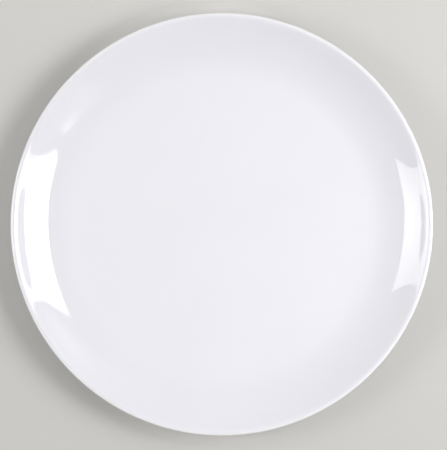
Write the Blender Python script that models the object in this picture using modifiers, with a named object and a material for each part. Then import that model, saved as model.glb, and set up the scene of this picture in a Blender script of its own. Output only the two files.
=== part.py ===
"""Coupe salad plate: a round porcelain plate with no rim band.

The wall curves up from a flat well and eases off into a rounded lip. The fired body is turned from one section. A coat
of glaze covers the face, the lip and the outside, and a second coat lines the recess inside the foot ring. The edge of
the foot ring stays bare, because it stood on the kiln shelf. The plate stands on Z = 0 and its axis is Z.
"""

import math

import bpy
from mathutils import Matrix, Vector

# Finished plate, over the glaze
PLATE_DIAMETER = 0.210
PLATE_HEIGHT = 0.0180

# Wall and lip of the body
WALL_SLOPE = math.radians(32.0)
WALL_BEND_RADIUS = 0.0480
LIP_SLOPE = math.radians(25.5)
LIP_EASE_RADIUS = 0.0114
LIP_CREST_RADIUS = 0.0019
LIP_FALL_SLOPE = math.radians(25.5)
LIP_EDGE_RADIUS = 0.0003
LIP_FACE_HEIGHT = 0.0006
LIP_UNDER_RADIUS = 0.0009

# Base and underside of the body
BASE_THICKNESS = 0.0043
UNDERSIDE_SLOPE = math.radians(34.0)
UNDERSIDE_BEND_RADIUS = 0.0500

# Foot ring
FOOT_HEIGHT = 0.0030
FOOT_EDGE_WIDTH = 0.0032
FOOT_FLANK_SLOPE = math.radians(68.0)
FOOT_ROOT_RADIUS = 0.0016
FOOT_EDGE_RADIUS = 0.0005
FOOT_INSET = 0.0050

# Glaze
GLAZE_THICKNESS = 0.0003
GLAZE_BOND_GAP = 0.00003
GLAZE_LINE_HEIGHT = 0.0012

# Fineness of the turned surfaces
CHORD_ERROR = 0.00002
TURN_STEPS = 64


def upward_normal(slope):
    """The upward normal of a surface that rises away from the axis at this slope."""
    return Vector((-math.sin(slope), math.cos(slope)))


def fillet(before, corner, after, radius):
    """The rounded corner between two straight runs: pairs of a point and the normal that faces out of the clay."""
    arriving = (corner - before).normalized()
    turn = -arriving.angle_signed(after - corner)
    start = corner - arriving * radius * math.tan(abs(turn) / 2)
    normal = arriving.orthogonal()
    side = -math.copysign(radius, turn)
    centre = start - normal * side
    steps = max(2, math.ceil(abs(turn) / (2 * math.acos(1 - CHORD_ERROR / radius))))
    normals = [Matrix.Rotation(turn * step / steps, 2) @ normal for step in range(steps + 1)]
    return [(centre + facing * side, facing) for facing in normals]


def arc_corner(centre, first, last, radius):
    """The corner that an arc about the centre rounds, between the places where it faces first and last."""
    return centre + (first + last) * radius / (1 + first.dot(last))


def rounded_path(start, corners, end):
    """Points and normals along straight runs from start to end, with each (corner, radius) on the way rounded."""
    stops = [start] + [corner for corner, _ in corners] + [end]
    path = [(start, (stops[1] - start).normalized().orthogonal())]
    for index, (corner, radius) in enumerate(corners):
        path += fillet(stops[index], corner, stops[index + 2], radius)
    path.append((end, (end - stops[-2]).normalized().orthogonal()))
    return path


def plate_section():
    """The body's section from the middle of the well round to the middle of the recess, in three stretches.

    The first is glazed and ends on the foot ring's outer flank. The second is the bare edge of the foot ring. The
    third is glazed and starts on the foot ring's inner flank. Points hold the distance from the axis and the height.
    """
    build_up = GLAZE_BOND_GAP + GLAZE_THICKNESS
    well = FOOT_HEIGHT + BASE_THICKNESS

    # The lip's crest is one arc, from the inner slope to the outer one. A tight arc turns it into the lip's upright
    # face, and another turns that into the underside.
    inner = upward_normal(LIP_SLOPE)
    fall = upward_normal(-LIP_FALL_SLOPE)
    out = Vector((1, 0))
    under = -upward_normal(UNDERSIDE_SLOPE)
    rim = PLATE_DIAMETER / 2 - build_up
    crest_to_edge = fall * (LIP_CREST_RADIUS - LIP_EDGE_RADIUS)
    crest = Vector((rim - LIP_EDGE_RADIUS - crest_to_edge.x, PLATE_HEIGHT - build_up - LIP_CREST_RADIUS))
    edge = crest + crest_to_edge
    lower = Vector((rim - LIP_UNDER_RADIUS, edge.y - LIP_FACE_HEIGHT))
    crest_corner = arc_corner(crest, inner, fall, LIP_CREST_RADIUS)
    edge_corner = arc_corner(edge, fall, out, LIP_EDGE_RADIUS)
    lower_corner = arc_corner(lower, out, under, LIP_UNDER_RADIUS)

    # The wall eases off to the lip's inner slope
    ease_length = LIP_EASE_RADIUS * math.tan(abs(WALL_SLOPE - LIP_SLOPE) / 2)
    ease = crest + inner * LIP_CREST_RADIUS - Vector((math.cos(LIP_SLOPE), math.sin(LIP_SLOPE))) * ease_length
    bend = Vector((ease.x - (ease.y - well) / math.tan(WALL_SLOPE), well))
    lip_outer = lower + under * LIP_UNDER_RADIUS
    under_bend = Vector((lip_outer.x - (lip_outer.y - FOOT_HEIGHT) / math.tan(UNDERSIDE_SLOPE), FOOT_HEIGHT))

    # A bend takes no more of the wall than the lip's rounding leaves
    wall_room = (ease - bend).length - ease_length
    bend_radius = min(WALL_BEND_RADIUS, wall_room / math.tan(WALL_SLOPE / 2))
    under_room = (lip_outer - under_bend).length
    under_radius = min(UNDERSIDE_BEND_RADIUS, under_room / math.tan(UNDERSIDE_SLOPE / 2))

    # The foot ring stands inside the point where the underside starts to rise
    flank = FOOT_HEIGHT / math.tan(FOOT_FLANK_SLOPE)
    edge_width = FOOT_EDGE_WIDTH + 2 * FOOT_EDGE_RADIUS * math.tan(FOOT_FLANK_SLOPE / 2)
    foot_root = under_bend.x - under_radius * math.tan(UNDERSIDE_SLOPE / 2) - FOOT_INSET
    outer_root = Vector((foot_root, FOOT_HEIGHT))
    outer_edge = Vector((foot_root - flank, 0))
    inner_edge = outer_edge - Vector((edge_width, 0))
    inner_root = Vector((inner_edge.x - flank, FOOT_HEIGHT))
    outer_line = outer_edge.lerp(outer_root, GLAZE_LINE_HEIGHT / FOOT_HEIGHT)
    inner_line = inner_edge.lerp(inner_root, GLAZE_LINE_HEIGHT / FOOT_HEIGHT)

    face_corners = [
        (bend, bend_radius),
        (ease, LIP_EASE_RADIUS),
        (crest_corner, LIP_CREST_RADIUS),
        (edge_corner, LIP_EDGE_RADIUS),
        (lower_corner, LIP_UNDER_RADIUS),
        (under_bend, under_radius),
        (outer_root, FOOT_ROOT_RADIUS),
    ]
    edge_corners = [(outer_edge, FOOT_EDGE_RADIUS), (inner_edge, FOOT_EDGE_RADIUS)]
    recess_corners = [(inner_root, FOOT_ROOT_RADIUS)]
    face = rounded_path(Vector((0, well)), face_corners, outer_line)
    foot_edge = rounded_path(outer_line, edge_corners, inner_line)
    recess = rounded_path(inner_line, recess_corners, Vector((0, FOOT_HEIGHT)))
    return face, foot_edge, recess


def offset(stretch, distance):
    """The stretch's points, moved out of the clay by the distance."""
    return [point + normal * distance for point, normal in stretch]


def glaze_coat(stretch):
    """The closed outline of a coat of glaze over a stretch of the section, from the axis back to the axis."""
    outside = offset(stretch, GLAZE_BOND_GAP + GLAZE_THICKNESS)
    inside = offset(stretch, GLAZE_BOND_GAP)[::-1]
    return outside + inside if stretch[0][0].x == 0 else inside + outside


def principled(name, colour, roughness):
    material = bpy.data.materials.new(name)
    material.use_nodes = True
    shader = material.node_tree.nodes["Principled BSDF"]
    shader.inputs["Base Color"].default_value = (*colour, 1)
    shader.inputs["Roughness"].default_value = roughness
    shader.inputs["Metallic"].default_value = 0
    return material


def turned(name, outline, material, collection):
    """A solid of revolution: the outline stands in the XZ plane and a Screw modifier turns it about Z."""
    kept = outline[:1]
    for point in outline[1:]:
        if (point - kept[-1]).length > 1e-7:
            kept.append(point)
    mesh = bpy.data.meshes.new(name)
    points = [(point.x, 0, point.y) for point in kept]
    mesh.from_pydata(points, [(index, index + 1) for index in range(len(points) - 1)], [])
    mesh.materials.append(material)
    solid = bpy.data.objects.new(name, mesh)
    collection.objects.link(solid)
    screw = solid.modifiers.new("turn", "SCREW")
    screw.axis = "Z"
    screw.angle = math.tau
    screw.steps = TURN_STEPS
    screw.render_steps = TURN_STEPS
    screw.use_merge_vertices = True
    screw.merge_threshold = 1e-6
    screw.use_smooth_shade = True
    return solid


def main():
    for old in list(bpy.data.objects):
        bpy.data.objects.remove(old)
    plate = bpy.data.collections.new("coupe_salad_plate")
    bpy.context.scene.collection.children.link(plate)

    porcelain = principled("porcelain", (0.80, 0.78, 0.74), 0.6)
    glaze = principled("glaze", (0.87, 0.865, 0.91), 0.08)
    recess_glaze = principled("recess_glaze", (0.86, 0.855, 0.90), 0.1)

    face, foot_edge, recess = plate_section()
    clay = [point for stretch in (face, foot_edge, recess) for point in offset(stretch, 0)]
    turned("porcelain_body", clay, porcelain, plate)
    turned("main_glaze", glaze_coat(face), glaze, plate)
    turned("base_glaze", glaze_coat(recess), recess_glaze, plate)


main()
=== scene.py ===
"""Coupe salad plate on a pale table, seen from straight above between two light panels."""

import math

import bpy
from mathutils import Matrix, Vector


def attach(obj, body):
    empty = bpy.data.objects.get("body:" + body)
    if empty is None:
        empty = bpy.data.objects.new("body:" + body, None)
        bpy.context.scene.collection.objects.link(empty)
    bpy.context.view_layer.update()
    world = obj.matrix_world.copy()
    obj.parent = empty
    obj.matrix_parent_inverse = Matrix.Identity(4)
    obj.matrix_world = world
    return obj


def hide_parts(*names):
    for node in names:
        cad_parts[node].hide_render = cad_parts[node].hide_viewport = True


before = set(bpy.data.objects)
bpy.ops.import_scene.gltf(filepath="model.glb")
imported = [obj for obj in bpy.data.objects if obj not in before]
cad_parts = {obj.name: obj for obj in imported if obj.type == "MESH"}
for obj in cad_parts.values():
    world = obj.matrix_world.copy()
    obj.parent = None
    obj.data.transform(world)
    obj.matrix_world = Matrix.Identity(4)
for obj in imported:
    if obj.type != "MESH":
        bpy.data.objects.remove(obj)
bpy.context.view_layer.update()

# Sizes of the plate, as built
PLATE_DIAMETER = 0.210
PLATE_HEIGHT = 0.0180
WALL_SLOPE = math.radians(32.0)
WALL_BEND_RADIUS = 0.0480
LIP_SLOPE = math.radians(25.5)
LIP_EASE_RADIUS = 0.0114
LIP_CREST_RADIUS = 0.0019
LIP_FALL_SLOPE = math.radians(25.5)
LIP_EDGE_RADIUS = 0.0003
LIP_FACE_HEIGHT = 0.0006
LIP_UNDER_RADIUS = 0.0009
BASE_THICKNESS = 0.0043
UNDERSIDE_SLOPE = math.radians(34.0)
UNDERSIDE_BEND_RADIUS = 0.0500
FOOT_HEIGHT = 0.0030
FOOT_EDGE_WIDTH = 0.0032
FOOT_FLANK_SLOPE = math.radians(68.0)
FOOT_ROOT_RADIUS = 0.0016
FOOT_EDGE_RADIUS = 0.0005
FOOT_INSET = 0.0050
GLAZE_THICKNESS = 0.0003
GLAZE_BOND_GAP = 0.00003
GLAZE_LINE_HEIGHT = 0.0012

# Rolled edge of each coat of glaze, and the run over which the coat swells up to it
BEAD_RADIUS = 0.0002
BEAD_RUN = 0.0007
BEAD_RUN_STEPS = 8
BEAD_TURN_STEPS = 16

# Shading of the wall: it is steepest at one radius and falls off a little to both sides of it
CROWN_START = 0.090
CROWN_RADIUS = 0.10046
CROWN_REACH = 0.00174
CROWN_FALL = math.radians(0.405)
CROWN_POWER = 2.6
CROWN_LIMIT = 1.7

# A normal that rises by more than this is on the upper face
FACE_RISE = 0.5

# Fineness of the turned surfaces
TURN_STEPS = 256
ARC_STEP = math.radians(3.0)
FEWEST_ARC_STEPS = 4
LONGEST_SPAN = 0.008
WALL_SPAN = 0.0003
WALL_INSIDE = 0.0950
WALL_OUTSIDE = 0.1035
SAME_POINT = 1e-6

# Most values of a noise texture lie in this span
NOISE_SPAN = (0.3, 0.7)

# Glaze, with a painted highlight: a ring over the lip's edge where its colour is made whiter
GLAZE_IOR = 1.65
GLAZE_ROUGHNESS = (0.010, 0.022)
RIM_HIGHLIGHT_RING = (0.1036, 0.1042)
RIM_HIGHLIGHT_GAIN = (0.085, 0.087, 0.056)
TURNING_PITCH = 0.0021

# Bare clay
CLAY_ROUGHNESS = (0.55, 0.78)
CLAY_RELIEF = 0.00004
CLAY_GRAIN_SHARE = 0.5
CLAY_MIX_SPAN = (0.45, 1.05)

# Table top
TABLE_REACH = 3
TABLE_DROP = 0.00005
TABLE_DARK = (0.594, 0.585, 0.561)
TABLE_LIGHT = (0.726, 0.715, 0.686)
TABLE_LEAN = 1.79
TABLE_MIDDLE = 0.5
TABLE_GRAIN = (-0.02, 0.02)
TABLE_ROUGHNESS = 0.75

# Painted light on the table close to the plate, which makes the shade under the lip there paler, with a
# value for the front and one for the back
PAINTED_LIGHT_SIDES = (-0.1, 0.1)
PAINTED_LIGHT_INSIDE = 0.1068
PAINTED_LIGHT_OUTSIDE = (0.1115, 0.1130)
PAINTED_LIGHT_LIFT = (0.19, 0.20)
PAINTED_LIGHT_SHIFT = (0.018, 0.026)
PAINTED_LIGHT_FULL = (0.020, 0.028)
PAINTED_LIGHT_END = (0.048, 0.054)

# Camera, with the plate's size and place in pixels, and the drop from the lip's top to its widest circle
IMAGE_WIDTH = 447
PLATE_RADIUS_PX = 211.25
PLATE_OFFSET_PX = (-1.70, 0.75)
CAMERA_HEIGHT = 1.30
SENSOR_WIDTH = 36
RIM_DROP = 0.0010


def facing(slope):
    """The upward normal of a surface that rises away from the axis at this slope."""
    return Vector((-math.sin(slope), math.cos(slope)))


def along(slope):
    """The way up a surface that rises away from the axis at this slope."""
    return Vector((math.cos(slope), math.sin(slope)))


def fillet(before, corner, after, radius):
    """The rounded corner between two straight runs: pairs of a point and its normal out of the clay."""
    arriving = (corner - before).normalized()
    turn = -arriving.angle_signed(after - corner)
    start = corner - arriving * radius * math.tan(abs(turn) / 2)
    normal = arriving.orthogonal()
    side = -math.copysign(radius, turn)
    centre = start - normal * side
    steps = max(FEWEST_ARC_STEPS, math.ceil(abs(turn) / ARC_STEP))
    normals = [Matrix.Rotation(turn * step / steps, 2) @ normal for step in range(steps + 1)]
    return [(centre + out * side, out) for out in normals]


def arc_corner(centre, first, last, radius):
    """The corner that an arc about the centre rounds, from where it faces first to where it faces last."""
    return centre + (first + last) * radius / (1 + first.dot(last))


def rounded_path(start, corners, end):
    """Points and normals along straight runs from start to end, with each (corner, radius) rounded."""
    stops = [start] + [corner for corner, _ in corners] + [end]
    path = [(start, (stops[1] - start).normalized().orthogonal())]
    for index, (corner, radius) in enumerate(corners):
        path += fillet(stops[index], corner, stops[index + 2], radius)
    path.append((end, (end - stops[-2]).normalized().orthogonal()))
    return path


def plate_section():
    """The body's section: the glazed face and outside, the bare foot edge, and the glazed recess."""
    build_up = GLAZE_BOND_GAP + GLAZE_THICKNESS
    well = FOOT_HEIGHT + BASE_THICKNESS
    rim = PLATE_DIAMETER / 2 - build_up
    top = PLATE_HEIGHT - build_up

    # Lip: its crest, the tight edge outside it and the rounding under that
    inner = facing(LIP_SLOPE)
    fall = facing(-LIP_FALL_SLOPE)
    out = Vector((1, 0))
    outer = -facing(UNDERSIDE_SLOPE)
    reach = LIP_CREST_RADIUS - LIP_EDGE_RADIUS
    crest = Vector((rim - LIP_EDGE_RADIUS, top - LIP_CREST_RADIUS)) - Vector((fall.x, 0)) * reach
    edge = crest + fall * reach
    under = Vector((rim - LIP_UNDER_RADIUS, edge.y - LIP_FACE_HEIGHT))

    # Wall and underside
    ease_length = LIP_EASE_RADIUS * math.tan((WALL_SLOPE - LIP_SLOPE) / 2)
    ease = crest + inner * LIP_CREST_RADIUS - along(LIP_SLOPE) * ease_length
    bend = Vector((ease.x - (ease.y - well) / math.tan(WALL_SLOPE), well))
    lip_out = under + outer * LIP_UNDER_RADIUS
    under_run = (lip_out.y - FOOT_HEIGHT) / math.tan(UNDERSIDE_SLOPE)
    under_bend = Vector((lip_out.x - under_run, FOOT_HEIGHT))

    # Foot ring
    flank = FOOT_HEIGHT / math.tan(FOOT_FLANK_SLOPE)
    edge_width = FOOT_EDGE_WIDTH + 2 * FOOT_EDGE_RADIUS * math.tan(FOOT_FLANK_SLOPE / 2)
    foot_root = under_bend.x - UNDERSIDE_BEND_RADIUS * math.tan(UNDERSIDE_SLOPE / 2) - FOOT_INSET
    outer_root = Vector((foot_root, FOOT_HEIGHT))
    outer_edge = Vector((foot_root - flank, 0))
    inner_edge = outer_edge - Vector((edge_width, 0))
    inner_root = Vector((inner_edge.x - flank, FOOT_HEIGHT))
    outer_line = outer_edge.lerp(outer_root, GLAZE_LINE_HEIGHT / FOOT_HEIGHT)
    inner_line = inner_edge.lerp(inner_root, GLAZE_LINE_HEIGHT / FOOT_HEIGHT)

    face_corners = [
        (bend, WALL_BEND_RADIUS),
        (ease, LIP_EASE_RADIUS),
        (arc_corner(crest, inner, fall, LIP_CREST_RADIUS), LIP_CREST_RADIUS),
        (arc_corner(edge, fall, out, LIP_EDGE_RADIUS), LIP_EDGE_RADIUS),
        (arc_corner(under, out, outer, LIP_UNDER_RADIUS), LIP_UNDER_RADIUS),
        (under_bend, UNDERSIDE_BEND_RADIUS),
        (outer_root, FOOT_ROOT_RADIUS),
    ]
    edge_corners = [(outer_edge, FOOT_EDGE_RADIUS), (inner_edge, FOOT_EDGE_RADIUS)]
    face = rounded_path(Vector((0, well)), face_corners, outer_line)
    foot_edge = rounded_path(outer_line, edge_corners, inner_line)
    recess = rounded_path(inner_line, [(inner_root, FOOT_ROOT_RADIUS)], Vector((0, FOOT_HEIGHT)))
    return face, foot_edge, recess


def glaze_bead(line, normal, heading):
    """The rolled edge of a coat at its glaze line, from the outer face round to the body."""
    bead = []
    top = GLAZE_BOND_GAP + GLAZE_THICKNESS
    swell = 2 * BEAD_RADIUS - GLAZE_THICKNESS
    for step in range(BEAD_RUN_STEPS + 1):
        part = step / BEAD_RUN_STEPS
        height = top + swell * part * part * (3 - 2 * part)
        rise = swell * 6 * part * (1 - part) / BEAD_RUN
        place = line - heading * (BEAD_RADIUS + BEAD_RUN * (1 - part)) + normal * height
        bead.append((place, (normal - heading * rise).normalized()))
    centre = line - heading * BEAD_RADIUS + normal * (GLAZE_BOND_GAP + BEAD_RADIUS)
    for step in range(1, BEAD_TURN_STEPS + 1):
        angle = math.pi * step / BEAD_TURN_STEPS
        out = normal * math.cos(angle) + heading * math.sin(angle)
        bead.append((centre + out * BEAD_RADIUS, out))
    return bead


def glaze_coat(stretch):
    """The closed outline of a coat of glaze over a stretch that starts or ends on the axis."""
    from_axis = stretch[0][0].x == 0
    run = stretch if from_axis else stretch[::-1]
    line, normal = run[-1]
    heading = (line - run[-2][0]).normalized()
    outside = [(point + out * (GLAZE_BOND_GAP + GLAZE_THICKNESS), out) for point, out in run[:-1]]
    inside = [(point + out * GLAZE_BOND_GAP, -out) for point, out in run[:-1]]
    coat = outside + glaze_bead(line, normal, heading) + inside[::-1]
    return coat if from_axis else coat[::-1]


def crowned(point, normal):
    """The normal to shade with: the wall's straight stretch looks very slightly crowned."""
    if normal.y < FACE_RISE or point.x < CROWN_START:
        return normal
    slope = math.atan2(-normal.x, normal.y)
    away = min(abs(point.x - CROWN_RADIUS) / CROWN_REACH, CROWN_LIMIT)
    return facing(min(slope, WALL_SLOPE - CROWN_FALL * away**CROWN_POWER))


def spaced(outline):
    """The outline without doubled points, and with points added on its long spans and up the wall."""
    kept = outline[:1]
    for point, normal in outline[1:]:
        before, before_normal = kept[-1]
        gap = (point - before).length
        if gap < SAME_POINT:
            continue
        on_wall = normal.y > FACE_RISE and WALL_INSIDE < point.x < WALL_OUTSIDE
        parts = math.ceil(gap / (WALL_SPAN if on_wall else LONGEST_SPAN))
        for part in range(1, parts):
            share = part / parts
            between = before_normal.lerp(normal, share).normalized()
            kept.append((before.lerp(point, share), between))
        kept.append((point, normal))
    return kept


def turned(name, outline, material):
    """A closed solid of revolution whose outline starts and ends on the axis."""
    kept = spaced(outline)
    rings = kept[1:-1]
    points = [(0, 0, kept[0][0].y), (0, 0, kept[-1][0].y)]
    normals = [(0, 0, kept[0][1].y), (0, 0, kept[-1][1].y)]
    first = len(points)
    last = first + (len(rings) - 1) * TURN_STEPS
    for point, normal in rings:
        shown = crowned(point, normal)
        for step in range(TURN_STEPS):
            cos = math.cos(math.tau * step / TURN_STEPS)
            sin = math.sin(math.tau * step / TURN_STEPS)
            points.append((point.x * cos, point.x * sin, point.y))
            normals.append((shown.x * cos, shown.x * sin, shown.y))
    faces = []
    for step in range(TURN_STEPS):
        following = (step + 1) % TURN_STEPS
        faces.append((0, first + step, first + following))
        faces.append((1, last + following, last + step))
        for ring in range(first, last, TURN_STEPS):
            beyond = ring + TURN_STEPS
            faces.append((ring + step, beyond + step, beyond + following, ring + following))
    mesh = bpy.data.meshes.new(name)
    mesh.from_pydata(points, [], faces)
    mesh.polygons.foreach_set("use_smooth", [True] * len(mesh.polygons))
    mesh.normals_split_custom_set_from_vertices(normals)
    mesh.materials.append(material)
    mesh.update()
    piece = bpy.data.objects.new(name, mesh)
    bpy.context.scene.collection.objects.link(piece)
    return piece


def feed(tree, socket, value):
    """Link another node's output to a socket, or set the socket to a plain value."""
    if isinstance(value, bpy.types.NodeSocket):
        tree.links.new(value, socket)
    else:
        socket.default_value = value


def put(tree, kind, settings=None, **inputs):
    """A new shader node. The name of an input has _ for each space."""
    made = tree.nodes.new("ShaderNode" + kind)
    for name, value in (settings or {}).items():
        setattr(made, name, value)
    for name, value in inputs.items():
        feed(tree, made.inputs[name.replace("_", " ")], value)
    return made


def calculate(tree, operation, *values):
    """The result of a Math node that takes these values in turn."""
    made = put(tree, "Math", {"operation": operation})
    for socket, value in zip(made.inputs, values):
        feed(tree, socket, value)
    return made.outputs["Value"]


def calculate_vector(tree, operation, *values, result="Vector"):
    """The result of a Vector Math node that takes these values in turn."""
    made = put(tree, "VectorMath", {"operation": operation})
    for socket, value in zip(made.inputs, values):
        feed(tree, socket, value)
    return made.outputs[result]


def blank(name):
    """A new material, its nodes and its shader."""
    material = bpy.data.materials.new(name)
    material.use_nodes = True
    return material, material.node_tree, material.node_tree.nodes["Principled BSDF"]


def place_of(tree):
    return put(tree, "TexCoord").outputs["Object"]


def noise(tree, place, scale, detail=2.0):
    return put(tree, "TexNoise", Vector=place, Scale=scale, Detail=detail).outputs["Fac"]


def ramp(tree, value, *stops):
    """A colour for a value from 0 to 1; each stop is a position and a colour."""
    made = put(tree, "ValToRGB", Fac=value)
    elements = made.color_ramp.elements
    while len(elements) < len(stops):
        elements.new(0.5)
    for element, (position, colour) in zip(elements, stops):
        element.position = position
        element.color = (*colour, 1)
    return made.outputs["Color"]


def remap(tree, value, span, to_span):
    """A value moved from one span to another, and held at the ends."""
    made = put(
        tree,
        "MapRange",
        Value=value,
        From_Min=span[0],
        From_Max=span[1],
        To_Min=to_span[0],
        To_Max=to_span[1],
    )
    return made.outputs["Result"]


def radius_of(tree, place):
    """The distance from the plate's axis."""
    flat = calculate_vector(tree, "MULTIPLY", place, (1, 1, 0))
    return calculate_vector(tree, "LENGTH", flat, result="Value")


def relief(tree, shader, height, depth):
    bump = put(tree, "Bump", Height=height, Distance=depth, Strength=1.0)
    feed(tree, shader.inputs["Normal"], bump.outputs["Normal"])


def glaze_material(name, light, dark, depth, rings=0.0):
    """Clear fired glaze on white clay: uneven in tint and gloss, with a painted highlight that makes it
    whiter over the lip's edge.

    Its relief is this deep, and rings is the share in it of the turning rings under the glaze.
    """
    material, tree, shader = blank(name)
    place = place_of(tree)
    radius = radius_of(tree, place)
    tint = ramp(tree, noise(tree, place, scale=26), (NOISE_SPAN[0], dark), (NOISE_SPAN[1], light))
    # Painted highlight: the colour is made whiter in a ring over the lip's edge
    rim_highlight = remap(tree, radius, RIM_HIGHLIGHT_RING, (0, 1))
    colour = calculate_vector(tree, "MULTIPLY_ADD", rim_highlight, RIM_HIGHLIGHT_GAIN, tint)
    feed(tree, shader.inputs["Base Color"], colour)
    gloss = remap(tree, noise(tree, place, scale=70), NOISE_SPAN, GLAZE_ROUGHNESS)
    feed(tree, shader.inputs["Roughness"], gloss)
    feed(tree, shader.inputs["IOR"], GLAZE_IOR)
    height = noise(tree, place, scale=150, detail=1.0)
    if rings:
        wave = calculate(tree, "SINE", calculate(tree, "MULTIPLY", radius, math.tau / TURNING_PITCH))
        height = calculate(tree, "MULTIPLY_ADD", wave, rings, height)
    relief(tree, shader, height, depth)
    return material


def biscuit_material(name):
    """Bare fired clay, ground smooth where the plate stands."""
    material, tree, shader = blank(name)
    place = place_of(tree)
    grain = noise(tree, place, scale=2600, detail=3.0)
    patches = noise(tree, place, scale=140, detail=3.0)
    mixed = calculate(tree, "MULTIPLY_ADD", grain, CLAY_GRAIN_SHARE, patches)
    tone = ramp(
        tree,
        remap(tree, mixed, CLAY_MIX_SPAN, (0, 1)),
        (0.0, (0.66, 0.63, 0.58)),
        (0.35, (0.78, 0.755, 0.71)),
        (1.0, (0.85, 0.83, 0.79)),
    )
    feed(tree, shader.inputs["Base Color"], tone)
    feed(tree, shader.inputs["Roughness"], remap(tree, grain, NOISE_SPAN, CLAY_ROUGHNESS))
    relief(tree, shader, grain, CLAY_RELIEF)
    return material


def table_material(name):
    """Matt table top with a fine grain, lighter towards the back, and with painted light close to the
    plate's front and back that makes the shade under the lip there paler.
    """
    material, tree, shader = blank(name)
    place = place_of(tree)
    axes = put(tree, "SeparateXYZ", Vector=place)
    lean = calculate(tree, "MULTIPLY_ADD", axes.outputs["Y"], TABLE_LEAN, TABLE_MIDDLE)
    grain = remap(tree, noise(tree, place, scale=1400), NOISE_SPAN, TABLE_GRAIN)
    tone = ramp(tree, calculate(tree, "ADD", lean, grain), (0, TABLE_DARK), (1, TABLE_LIGHT))

    def by_side(values):
        """A value that goes from its front one to its back one."""
        return remap(tree, axes.outputs["Y"], PAINTED_LIGHT_SIDES, values)

    # Painted light in a short arc along the plate, which fades outwards and sideways
    outwards = (PAINTED_LIGHT_INSIDE, by_side(PAINTED_LIGHT_OUTSIDE))
    near = remap(tree, radius_of(tree, place), outwards, (by_side(PAINTED_LIGHT_LIFT), 0))
    aside = calculate(tree, "ABSOLUTE", calculate(tree, "ADD", axes.outputs["X"], by_side(PAINTED_LIGHT_SHIFT)))
    middle = remap(tree, aside, (by_side(PAINTED_LIGHT_FULL), by_side(PAINTED_LIGHT_END)), (1, 0))
    # Painted light: this raises the table's colour near the plate to lighten the shade there
    painted_light = calculate(tree, "MULTIPLY_ADD", near, middle, 1)
    feed(tree, shader.inputs["Base Color"], calculate_vector(tree, "MULTIPLY", tone, painted_light))
    feed(tree, shader.inputs["Roughness"], TABLE_ROUGHNESS)
    return material


def light_cloth(name, spot, reach, edge, middle):
    """Emission that is brightest at a spot of the panel and falls off to its edge."""
    material = bpy.data.materials.new(name)
    material.use_nodes = True
    tree = material.node_tree
    tree.nodes.clear()
    spread = put(
        tree,
        "Mapping",
        {"vector_type": "TEXTURE"},
        Vector=place_of(tree),
        Location=(*spot, 0),
        Scale=(*reach, 1),
    )
    fade = put(tree, "TexGradient", {"gradient_type": "SPHERICAL"}, Vector=spread.outputs["Vector"])
    level = put(
        tree,
        "MapRange",
        {"interpolation_type": "SMOOTHSTEP"},
        Value=fade.outputs["Fac"],
        To_Min=edge,
        To_Max=middle,
    )
    glow = put(tree, "Emission", Strength=level.outputs["Result"])
    put(tree, "OutputMaterial", Surface=glow.outputs["Emission"])
    return material


def softbox(name, centre, azimuth, tilt, outline, cloth):
    """A light panel that faces azimuth in plan and is tipped down by tilt, both in degrees.

    The outline's points are measured across and up the panel.
    """
    mesh = bpy.data.meshes.new(name)
    points = [(sideways, up, 0) for sideways, up in outline]
    mesh.from_pydata(points, [], [tuple(range(len(points)))])
    mesh.materials.append(cloth)
    panel = bpy.data.objects.new(name, mesh)
    turn = math.radians(azimuth)
    tip = math.radians(tilt)
    level = math.cos(tip)
    aim = Vector((math.cos(turn) * level, math.sin(turn) * level, -math.sin(tip)))
    across = Vector((-math.sin(turn), math.cos(turn), 0))
    axes = Matrix((across, aim.cross(across), aim)).transposed()
    panel.matrix_world = Matrix.Translation(centre) @ axes.to_4x4()
    panel.visible_camera = False
    bpy.context.scene.collection.objects.link(panel)


def room_light(lobes, strip, strip_tightness):
    """A pale room: a strip of light that runs overhead from front to back, and lobes of light.

    Each lobe is an axis, a tightness round it and a strength.
    """
    world = bpy.data.worlds.new("room")
    world.use_nodes = True
    tree = world.node_tree
    back = tree.nodes["Background"]
    back.inputs["Color"].default_value = (1, 1, 1, 1)
    way = put(tree, "TexCoord").outputs["Generated"]
    upright = calculate_vector(tree, "MULTIPLY", way, (0, 1, 1))
    overhead = calculate_vector(tree, "LENGTH", upright, result="Value")
    total = calculate(tree, "MULTIPLY", calculate(tree, "POWER", overhead, strip_tightness), strip)
    for axis, tightness, strength in lobes:
        unit = Vector(axis).normalized()
        toward = calculate_vector(tree, "DOT_PRODUCT", way, unit, result="Value")
        lobe = calculate(tree, "POWER", calculate(tree, "MAXIMUM", toward, 0), tightness)
        total = calculate(tree, "MULTIPLY_ADD", lobe, strength, total)
    feed(tree, back.inputs["Strength"], total)
    bpy.context.scene.world = world


# Plate
glaze = glaze_material(
    "glaze",
    light=(0.873, 0.870, 0.919),
    dark=(0.861, 0.858, 0.907),
    depth=0.000004,
)
recess_glaze = glaze_material(
    "recess_glaze",
    light=(0.860, 0.858, 0.893),
    dark=(0.840, 0.838, 0.872),
    depth=0.000008,
    rings=0.9,
)
porcelain = biscuit_material("porcelain")
face, foot_edge, recess = plate_section()
for node, outline, material, slot in (
    ("porcelain_body", face + foot_edge + recess, porcelain, "porcelain"),
    ("main_glaze", glaze_coat(face), glaze, "glaze"),
    ("base_glaze", glaze_coat(recess), recess_glaze, "recess_glaze"),
):
    piece = turned(node + "_surface", outline, material)
    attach(piece, "root")
    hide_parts(node)

# Table
table_corners = [
    (-TABLE_REACH, -TABLE_REACH, 0),
    (TABLE_REACH, -TABLE_REACH, 0),
    (TABLE_REACH, TABLE_REACH, 0),
    (-TABLE_REACH, TABLE_REACH, 0),
]
table_mesh = bpy.data.meshes.new("table")
table_mesh.from_pydata(table_corners, [], [(0, 1, 2, 3)])
table_mesh.materials.append(table_material("table"))
table = bpy.data.objects.new("table", table_mesh)
bpy.context.scene.collection.objects.link(table)
table.location.z = -TABLE_DROP

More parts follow.
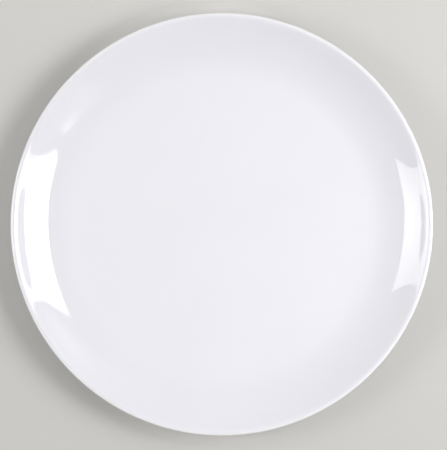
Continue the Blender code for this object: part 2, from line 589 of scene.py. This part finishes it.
# Room and the two light panels
room_light(
    lobes=[
        ((1, 0, 0.35), 2, 0.30),
        ((1, 0, 0), 4, 0.80),
        ((-1, 0, 0.35), 2, 0.47),
        ((-0.34, 0.94, 0.35), 2, 0.452),
        ((-0.34, -0.94, 0.35), 2, 0.294),
        ((0, 0, 1), 32, 0.63),
    ],
    strip=0.135,
    strip_tightness=24,
)
softbox(
    "right_softbox",
    centre=(0.5998, 0.0157, 0.66),
    azimuth=-176.7,
    tilt=42.0,
    outline=[
        (0.297, -0.199),
        (0.258, 0.034),
        (0.242, 0.155),
        (0.174, 0.256),
        (0.151, 0.264),
        (0.100, 0.261),
        (-0.050, 0.276),
        (-0.164, 0.272),
        (-0.253, 0.255),
        (-0.267, 0.130),
        (-0.265, -0.074),
        (-0.272, -0.194),
        (-0.205, -0.188),
        (-0.165, -0.180),
        (0.095, -0.184),
        (0.140, -0.190),
    ],
    cloth=light_cloth("right_cloth", spot=(0.0, 0.0), reach=(0.36, 0.90), edge=2.3, middle=8.7),
)
softbox(
    "left_softbox",
    centre=(-0.6196, -0.0216, 0.56),
    azimuth=-6.0,
    tilt=38.0,
    outline=[
        (0.223, -0.111),
        (0.228, 0.086),
        (0.233, 0.178),
        (0.192, 0.184),
        (0.086, 0.175),
        (-0.021, 0.158),
        (-0.052, 0.158),
        (-0.085, 0.165),
        (-0.173, 0.162),
        (-0.183, 0.095),
        (-0.186, -0.092),
        (0.003, -0.101),
        (0.010, -0.1045),
        (0.020, -0.105),
        (0.027, -0.102),
    ],
    cloth=light_cloth("left_cloth", spot=(0.01, 0.03), reach=(0.28, 0.36), edge=2.5, middle=5.0),
)

# Two dim cards beside the right panel
softbox(
    "front_card",
    centre=(0.4839, -0.4060, 0.5688),
    azimuth=140.0,
    tilt=42.0,
    outline=[
        (-0.084, 0.209),
        (-0.115, -0.098),
        (0.074, -0.101),
        (0.089, 0.110),
        (0.049, 0.355),
        (0.014, 0.347),
        (-0.056, 0.261),
    ],
    cloth=light_cloth("front_cloth", spot=(-0.085, 0.18), reach=(0.09, 0.15), edge=0.65, middle=2.4),
)
softbox(
    "back_card",
    centre=(0.4694, 0.4227, 0.5688),
    azimuth=-138.0,
    tilt=42.0,
    outline=[
        (0.109, 0.012),
        (0.018, 0.154),
        (-0.050, 0.244),
        (-0.113, 0.273),
        (-0.159, 0.121),
        (-0.174, -0.096),
        (0.098, -0.103),
        (0.198, -0.092),
        (0.189, -0.045),
    ],
    cloth=light_cloth("back_cloth", spot=(0.06, -0.02), reach=(0.20, 0.22), edge=0.45, middle=1.30),
)

# Camera
scale = PLATE_DIAMETER / 2 / PLATE_RADIUS_PX
rim_height = PLATE_HEIGHT - RIM_DROP
camera_data = bpy.data.cameras.new("camera")
camera_data.sensor_fit = "HORIZONTAL"
camera_data.sensor_width = SENSOR_WIDTH
camera_data.lens = SENSOR_WIDTH * (CAMERA_HEIGHT - rim_height) / (IMAGE_WIDTH * scale)
camera = bpy.data.objects.new("camera", camera_data)
camera.location = (-PLATE_OFFSET_PX[0] * scale, -PLATE_OFFSET_PX[1] * scale, CAMERA_HEIGHT)
bpy.context.scene.collection.objects.link(camera)
bpy.context.scene.camera = camera
bpy.context.scene.view_settings.view_transform = "Standard"
